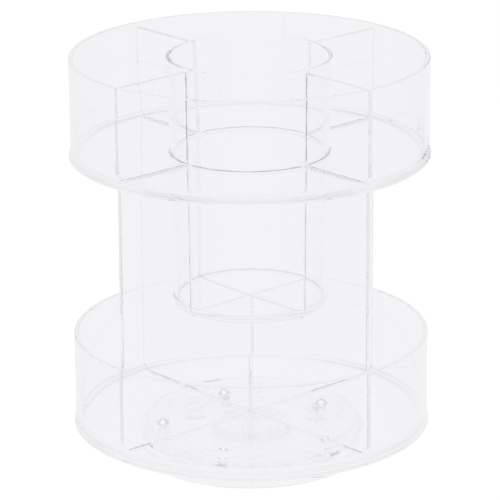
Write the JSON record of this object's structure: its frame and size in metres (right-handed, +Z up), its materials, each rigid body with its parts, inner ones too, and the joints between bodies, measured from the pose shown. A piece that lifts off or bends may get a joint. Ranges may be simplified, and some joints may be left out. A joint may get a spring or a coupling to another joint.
{
  "type": "rotating makeup organizer",
  "caption": "Clear carousel organizer: a round base tray on a ball-bearing turntable, crossed upright panels, and a round divided top tray with a deep central brush cup.",
  "frame": {"origin": "on the ground, under the centre of the turntable base", "axes": "+Z up along the spin axis; -Y is the front, between two diagonal arms of the cross"},
  "size_m": [0.222, 0.222, 0.2568],
  "materials": {
    "clear_acrylic": "clear, polished",
    "clear_turntable": "clear, moulded",
    "clear_nylon": "translucent, moulded",
    "clear_silicone": "translucent, soft",
    "steel_ball": "ground and polished"
  },
  "bodies": {
    "stand": {"turntable_base": "clear_turntable", "foot_pads": "clear_silicone"},
    "carousel": {"turntable_top": "clear_turntable", "retaining_washer": "clear_nylon", "pivot_screw": "clear_nylon", "base_tray": "clear_acrylic", "cross_panel_slot_above": "clear_acrylic", "cross_panel_slot_below": "clear_acrylic", "brush_cup": "clear_acrylic", "top_tray": "clear_acrylic", "upper_divider_back_right": "clear_acrylic", "upper_divider_back_left": "clear_acrylic", "upper_divider_front_left": "clear_acrylic", "upper_divider_front_right": "clear_acrylic"},
    "ball_cage": {"ball_retainer": "clear_turntable"},
    "ball_1": {"bearing_ball_1": "steel_ball"},
    "ball_2": {"bearing_ball_2": "steel_ball"},
    "ball_3": {"bearing_ball_3": "steel_ball"},
    "ball_4": {"bearing_ball_4": "steel_ball"},
    "ball_5": {"bearing_ball_5": "steel_ball"}
  },
  "joints": [
    {"name": "carousel_spin", "type": "hinge", "parent": "stand", "child": "carousel", "pos_m": [0, 0, 0.014], "axis": [0, 0, 1], "continuous": true},
    {"name": "cage_orbit", "type": "hinge", "parent": "stand", "child": "ball_cage", "pos_m": [0, 0, 0.013], "axis": [0, 0, 1], "continuous": true},
    {"name": "ball_roll_1", "type": "hinge", "parent": "ball_cage", "child": "ball_1", "pos_m": [0.04399, 0.03562, 0.013], "axis": [0.7771, 0.6293, 0], "continuous": true},
    {"name": "ball_roll_2", "type": "hinge", "parent": "ball_cage", "child": "ball_2", "pos_m": [-0.02028, 0.05284, 0.013], "axis": [-0.3584, 0.9336, 0], "continuous": true},
    {"name": "ball_roll_3", "type": "hinge", "parent": "ball_cage", "child": "ball_3", "pos_m": [-0.05652, -0.00296, 0.013], "axis": [-0.9986, -0.0523, 0], "continuous": true},
    {"name": "ball_roll_4", "type": "hinge", "parent": "ball_cage", "child": "ball_4", "pos_m": [-0.01465, -0.05467, 0.013], "axis": [-0.2588, -0.9659, 0], "continuous": true},
    {"name": "ball_roll_5", "type": "hinge", "parent": "ball_cage", "child": "ball_5", "pos_m": [0.04747, -0.03083, 0.013], "axis": [0.8387, -0.5446, 0], "continuous": true}
  ],
  "couplings": [
    {"joint": "cage_orbit", "follows": "carousel_spin", "ratio": 0.5},
    {"joint": "ball_roll_1", "follows": "carousel_spin", "ratio": -7.075},
    {"joint": "ball_roll_2", "follows": "carousel_spin", "ratio": -7.075},
    {"joint": "ball_roll_3", "follows": "carousel_spin", "ratio": -7.075},
    {"joint": "ball_roll_4", "follows": "carousel_spin", "ratio": -7.075},
    {"joint": "ball_roll_5", "follows": "carousel_spin", "ratio": -7.075}
  ]
}
